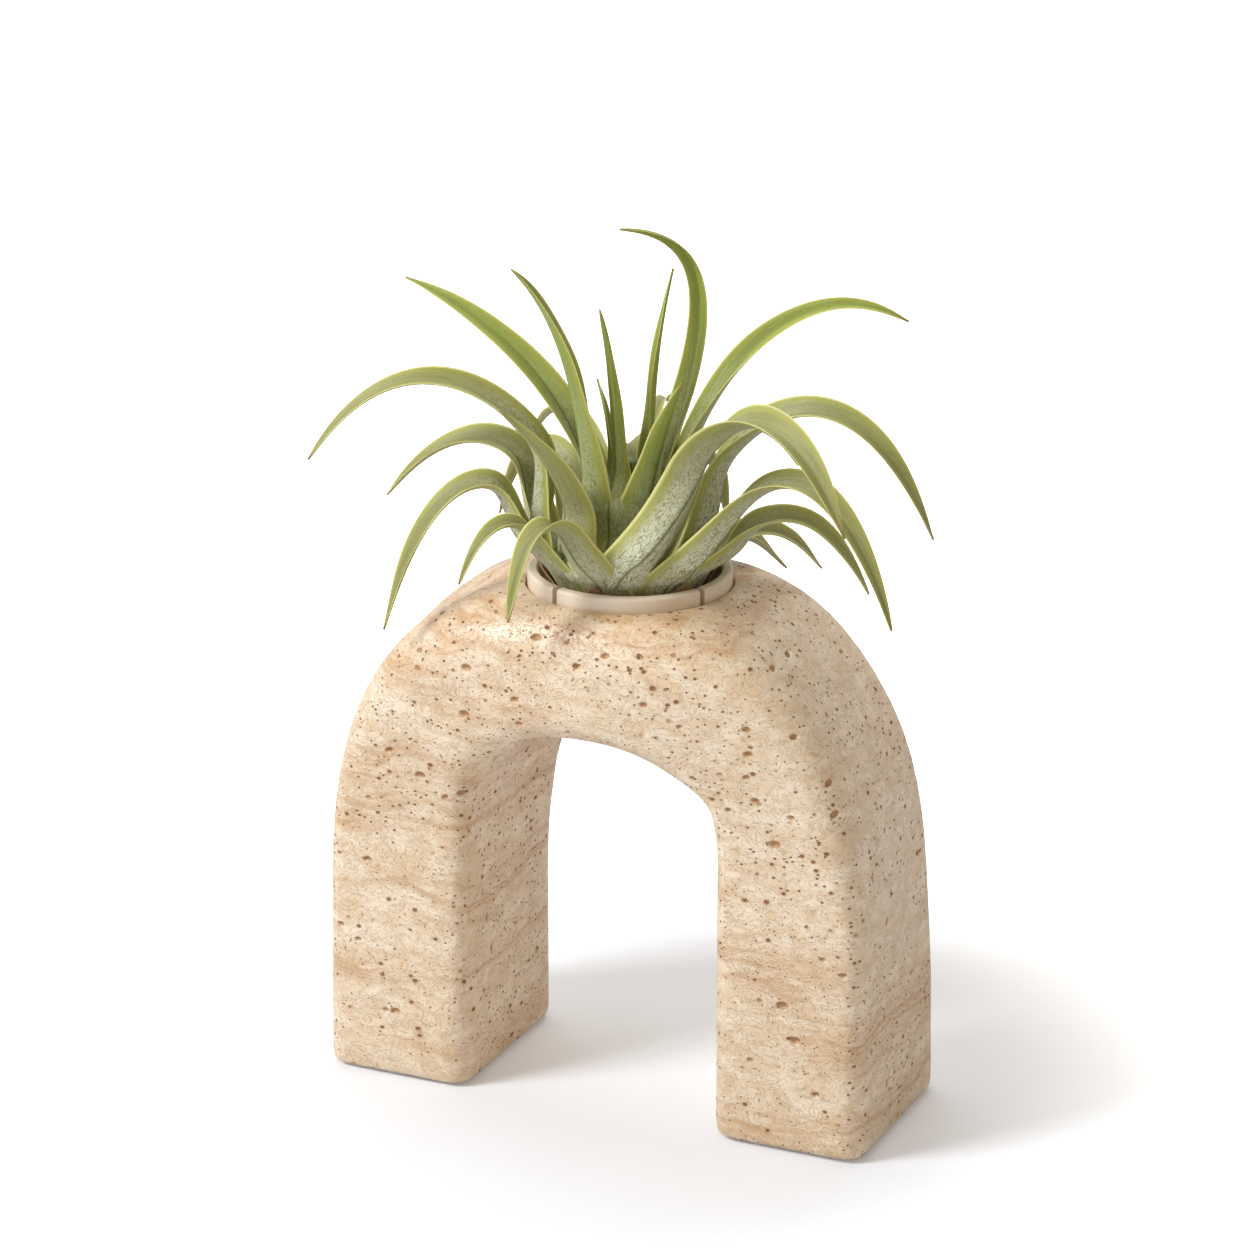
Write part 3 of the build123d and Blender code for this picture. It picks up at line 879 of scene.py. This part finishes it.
# Finer mesh round a pit, and to either side of the socket's wall in each of two rounds
FINE_SHARE = 1.5
fine_margin = 0.3 * MM
fine_rim_reaches = (1.7 * MM, 1.0 * MM)


def camera_axes():
    yaw = radians(CAMERA_YAW)
    pitch = radians(CAMERA_PITCH)
    back = Vector((sin(yaw) * cos(pitch), -cos(yaw) * cos(pitch), sin(pitch)))
    right = Vector((cos(yaw), sin(yaw), 0))
    return back, right, back.cross(right)


def photo_ray(across, down):
    """Camera place and direction through a pixel of the photograph."""
    back, right, up = camera_axes()
    eye = LOOK_AT + back * CAMERA_DISTANCE
    middle = PHOTO_PIXELS / 2
    ray = right * (across - middle) / FOCAL_PIXELS - up * (down - middle) / FOCAL_PIXELS - back
    return eye, ray.normalized()


def smooth_stone():
    """Even mesh over the solid's shape, softened as a honed edge is but left crisp at the socket."""
    stone = bpy.data.objects.new("stone_arch", nodes["arch_body"].data.copy())
    scene.collection.objects.link(stone)
    remesh = stone.modifiers.new("even", "REMESH")
    remesh.mode = "VOXEL"
    remesh.voxel_size = stone_voxel
    mesh = bpy.data.meshes.new_from_object(stone.evaluated_get(bpy.context.evaluated_depsgraph_get()))
    stone.modifiers.clear()
    stone.data = mesh
    points = read_points(mesh)
    edges = np.zeros(2 * len(mesh.edges), dtype=np.int64)
    mesh.edges.foreach_get("vertices", edges)
    edges = edges.reshape(-1, 2)
    starts, ends = np.concatenate([edges, edges[:, ::-1]]).T
    ways = np.bincount(starts, minlength=len(points))
    from_socket = np.hypot(points[:, 0], points[:, 1]) - socket_radius
    far = np.maximum(from_socket, recess_floor_z - points[:, 2])
    softness = 0.5 * climb(far, crisp_reach, soft_reach)[:, None]
    for _ in range(STONE_SMOOTHING):
        total = [np.bincount(starts, points[ends, axis], len(points)) for axis in range(3)]
        points = points + (np.stack(total, -1) / ways[:, None] - points) * softness
    mesh.vertices.foreach_set("co", points.ravel())
    mesh.update()
    return stone


def pit_places(stone):
    """Place, normal, radius and tilt of each larger pit: those seen, then others all round."""
    tree = BVHTree.FromObject(stone, bpy.context.evaluated_depsgraph_get())
    places = []
    for across, down, radius, tilt in seen_pits:
        hit, normal, _, _ = tree.ray_cast(*photo_ray(across, down))
        if hit is not None:
            places.append((hit, normal, radius * PIT_WIDTH_SHARE * MM, radians(tilt)))
    seen_side = camera_axes()[0]
    polygons = stone.data.polygons
    while len(places) < len(seen_pits) + SCATTERED_PITS:
        polygon = polygons[rng.randrange(len(polygons))]
        if polygon.normal.dot(seen_side) > SEEN_SIDE_LIMIT and rng.random() < SEEN_SIDE_LEFT_OUT:
            continue
        radius = rng.choice(SCATTERED_RADII) * MM
        tilt = rng.uniform(-SCATTERED_TILT, SCATTERED_TILT)
        places.append((polygon.center.copy(), polygon.normal.copy(), radius, tilt))
    return places


def near_rim(points, reach):
    radius = np.hypot(points[:, 0], points[:, 1])
    return (np.abs(radius - socket_radius) < reach) & (points[:, 2] > stone_top - socket_depth)


def refine_mesh(stone, places):
    """Cuts the mesh finer round each pit and along the socket's rim, in two rounds."""
    work = bmesh.new()
    work.from_mesh(stone.data)
    for rim_reach in fine_rim_reaches:
        work.verts.ensure_lookup_table()
        points = np.array([vert.co for vert in work.verts])
        near = set(np.where(near_rim(points, rim_reach))[0].tolist())
        for place, _, radius, _ in places:
            reach = radius * FINE_SHARE + fine_margin
            close = np.where(np.abs(points - np.array(place)).max(1) < reach)[0]
            near.update(close.tolist())
        faces = {face for index in near for face in work.verts[index].link_faces}
        edges = {edge for face in faces for edge in face.edges}
        bmesh.ops.subdivide_edges(work, edges=list(edges), cuts=1, use_grid_fill=True)
    bmesh.ops.triangulate(work, faces=[face for face in work.faces if len(face.verts) > 4])
    work.to_mesh(stone.data)
    work.free()


def crisp_socket(points):
    """Puts the socket's wall, narrow rounded rim and notches back onto the meshed stone."""
    x, y, z = points.T
    radius = np.hypot(x, y)
    out = radius - socket_radius
    over = z - stone_top
    wall = (np.abs(out) < wall_reach) & (over <= -rim_radius) & (over > -socket_depth + ledge_gap)
    fresh = np.where(wall, socket_radius, radius)
    rim = near_rim(points, wall_reach) & (out < rim_radius) & (over > -rim_radius)
    pull = rim_radius / (np.hypot(out - rim_radius, over + rim_radius) + TINY)
    fresh = np.where(rim, socket_radius + rim_radius + (out - rim_radius) * pull, fresh)
    height = np.where(rim, stone_top - rim_radius + (over + rim_radius) * pull, z)
    recess = (np.abs(radius - recess_radius) < recess_reach) & (over < -socket_depth - corner_gap)
    recess &= z > recess_floor_z + corner_gap
    fresh = np.where(recess, recess_radius, fresh)
    for turned in notch_angles:
        ahead_x = cos(radians(turned))
        ahead_y = sin(radians(turned))
        off = np.abs(y * ahead_x - x * ahead_y)
        ahead = x * ahead_x + y * ahead_y > 0
        depth = notch_depth * (1 - climb(off, notch_half_width, notch_edge)) * ahead
        fresh = fresh + depth * climb(over, -notch_height, notch_edge) * (wall | rim)
    scale = fresh / np.maximum(radius, TINY)
    return np.stack([x * scale, y * scale, height], -1)


def press_pits(points, places):
    """Presses each pit into the points and returns how deep in a pit each one lies."""
    floor = np.zeros(len(points))
    for place, normal, radius, tilt in places:
        level = Vector((0, 0, 1)).cross(normal)
        level = level.normalized() if level.length > 0.2 else Vector((1, 0, 0))
        rise = normal.cross(level).normalized()
        long_way = np.array(level * cos(tilt) + rise * sin(tilt)) / (radius * PIT_LENGTH_SHARE)
        short_way = np.array(rise * cos(tilt) - level * sin(tilt)) / (radius * PIT_HEIGHT_SHARE)
        offset = points - np.array(place)
        close = np.abs(offset).max(1) < radius * PIT_REACH_SHARE
        span = np.hypot(offset[close] @ long_way, offset[close] @ short_way)
        depth = np.clip(1 - span**2.4, 0, 1) ** 0.6
        points[close] -= np.outer(depth * radius * PIT_DEPTH_SHARE, np.array(normal))
        floor[close] = np.maximum(floor[close], np.clip(depth * 1.25, 0, 1))
    return floor


def shoulder_shift(points):
    """Departures from the solid: left shoulder fuller behind, right one leaner."""
    x, y, z = points.T / MM
    shift = np.zeros_like(points)
    shift[:, 2] += LEFT_SHOULDER_RISE * hump(x, -50, 10.5) * climb(y, -20, 25) * climb(z, 75, 25)
    shift[:, 0] -= LEFT_SHOULDER_SPREAD * hump(z, 101, 10) * climb(y, -20, 25) * climb(-x, 45, 12)
    shift[:, 2] -= RIGHT_SHOULDER_DROP * hump(x, 52, 14) * climb(y, -5, 25) * climb(z, 80, 25)
    shift[:, 0] -= RIGHT_SIDE_TRIM * climb(x, 35, 25) * climb(y, -12, 30) * climb(z, 25, 40)
    shift[:, 0] += RIGHT_CORNER_CUT * hump(x, 29, 6) * hump(z, 86, 9) * climb(-y, -10, 20)
    shift[:, 0] += LEFT_CORNER_FILL * hump(x, -31, 7) * hump(z, 78, 18) * climb(y, 2, 20)
    return points + shift * MM


def socket_light_share(points):
    """1 on the socket's floors and half that on its wall, where a paler colour goes as painted light that
    lifts the shade inside the socket.
    """
    inside = np.hypot(points[:, 0], points[:, 1]) < socket_radius + 0.2 * MM
    inside &= points[:, 2] > recess_floor_z - MM
    floor_part = points[:, 2] < stone_top - socket_depth + 0.3 * MM
    return inside * np.where(floor_part, 1.0, 0.5)


def make_stone(material):
    stone = smooth_stone()
    places = pit_places(stone)
    refine_mesh(stone, places)
    points = crisp_socket(read_points(stone.data))
    floor = press_pits(points, places)
    points = shoulder_shift(points)
    stone.data.vertices.foreach_set("co", points.ravel())
    stone.data.update()
    stone.data.materials.clear()
    stone.data.materials.append(material)
    stone.data.polygons.foreach_set("use_smooth", [True] * len(stone.data.polygons))
    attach(stone, "arch")
    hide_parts("arch_body")
    set_attribute(stone, "pit_floor", floor)
    # painted light inside the socket, full on its floors and half on its wall
    set_attribute(stone, "socket_painted_light", socket_light_share(points))


# Studio

FLOOR_SIZE = 3.0
GLOW_START = 0.08
GLOW_END = 0.21
LEAST_GLOW = 0.14
FULL_GLOW = 1.2
WORLD_LIGHT = 0.33
LAMP_AIM = (0, 0, 0.12)


def make_floor():
    """White floor that keeps the shadow near the object and glows to plain white round it."""
    mesh = bpy.data.meshes.new("studio_floor")
    corners = [(x * FLOOR_SIZE, y * FLOOR_SIZE, 0) for x, y in ((-1, -1), (1, -1), (1, 1), (-1, 1))]
    mesh.from_pydata(corners, [], [(0, 1, 2, 3)])
    floor = bpy.data.objects.new("studio_floor", mesh)
    scene.collection.objects.link(floor)
    material, build, shader = new_material("White Floor", 0.9, Specular_IOR_Level=0.0)
    shader.inputs["Base Color"].default_value = (0.81, 0.85, 0.92, 1)
    shader.inputs["Emission Color"].default_value = (1, 1, 1, 1)
    seen = build.add("ShaderNodeLightPath").outputs["Is Camera Ray"]
    glow = build.step(build.length(build.place()), GLOW_START, GLOW_END, LEAST_GLOW, FULL_GLOW)
    build.feed(shader.inputs["Emission Strength"], build.times(seen, glow))
    mesh.materials.append(material)


def make_lamp(name, place, size, power, colour):
    light = bpy.data.lights.new(name, "AREA")
    light.shape = "DISK"
    light.size = size
    light.energy = power
    light.color = colour
    lamp = bpy.data.objects.new(name, light)
    lamp.location = place
    lamp.rotation_euler = (Vector(place) - Vector(LAMP_AIM)).to_track_quat("Z", "Y").to_euler()
    scene.collection.objects.link(lamp)


def make_world():
    """White where a camera, glossy or clear ray sees it, and a soft warm light elsewhere."""
    world = bpy.data.worlds.new("studio")
    world.use_nodes = True
    build = Nodes(world.node_tree)
    background = world.node_tree.nodes["Background"]
    path = build.add("ShaderNodeLightPath").outputs
    seen = build.math("MAXIMUM", path["Is Camera Ray"], path["Is Glossy Ray"])
    seen = build.math("MAXIMUM", seen, path["Is Transmission Ray"])
    build.feed(background.inputs["Color"], build.mix(seen, (1.0, 0.86, 0.70, 1.0), (1.0, 1.0, 1.0, 1.0)))
    strength = build.math("MULTIPLY_ADD", seen, 1 - WORLD_LIGHT, WORLD_LIGHT)
    build.feed(background.inputs["Strength"], strength)
    scene.world = world


def make_camera():
    back, _, _ = camera_axes()
    data = bpy.data.cameras.new("photo_camera")
    data.sensor_width = SENSOR_WIDTH
    data.lens = FOCAL_PIXELS * SENSOR_WIDTH / PHOTO_PIXELS
    camera = bpy.data.objects.new("photo_camera", data)
    camera.location = LOOK_AT + back * CAMERA_DISTANCE
    camera.rotation_euler = back.to_track_quat("Z", "Y").to_euler()
    scene.collection.objects.link(camera)
    scene.camera = camera


# Assembly

HEART_SHARE = 0.965


def make_heart(material):
    """The bulb, a little slimmer so that the wrapped leaf bases lie over it."""
    source = nodes["plant_bulb"].data
    centre = np.array((0, 0, bulb_centre_z))
    points = (read_points(source) - centre) * HEART_SHARE + centre
    faces = [tuple(polygon.vertices) for polygon in source.polygons]
    new_plant_piece("heart", points, faces, material, "plant_bulb")


def dress_plant():
    outer = make_leaf_finish("Outer Leaf", tint(168, 167, 106), tint(136, 138, 78), 0.80)
    young = make_leaf_finish("Young Leaf", tint(166, 176, 80), tint(134, 149, 56), 0.45)
    for row in leaf_shares:
        seat = row[2]
        make_leaf(row, young if seat > YOUNG_SEAT_SHARE else outer)
    dry = make_dry_scale_finish()
    for copy in range(SCALE_COUNT):
        make_dry_scale("dry_scale_" + str(copy + 1), (copy + 0.5) * 360 / SCALE_COUNT, dry)
    make_heart(make_heart_finish())


def repaint(node, material):
    piece = nodes[node]
    for index in range(max(len(piece.material_slots), 1)):
        if index < len(piece.material_slots):
            piece.material_slots[index].material = material
        else:
            piece.data.materials.append(material)


scene.view_settings.view_transform = "Standard"
make_camera()
make_lamp("key_softbox", (-0.75, -0.75, 0.95), 0.50, 14.5, (0.98, 0.99, 1.0))
make_lamp("top_softbox", (-0.15, 0.35, 1.2), 0.9, 6.2, (1.0, 0.99, 0.97))
make_lamp("right_fill", (1.1, -0.7, 0.5), 0.9, 1.4, (1.0, 0.82, 0.60))
make_world()
make_floor()
make_stone(make_travertine())
repaint("retaining_collar", make_collar_finish())
pad_finish = make_pad_finish()
repaint("foot_pad_left", pad_finish)
repaint("foot_pad_right", pad_finish)
dress_plant()
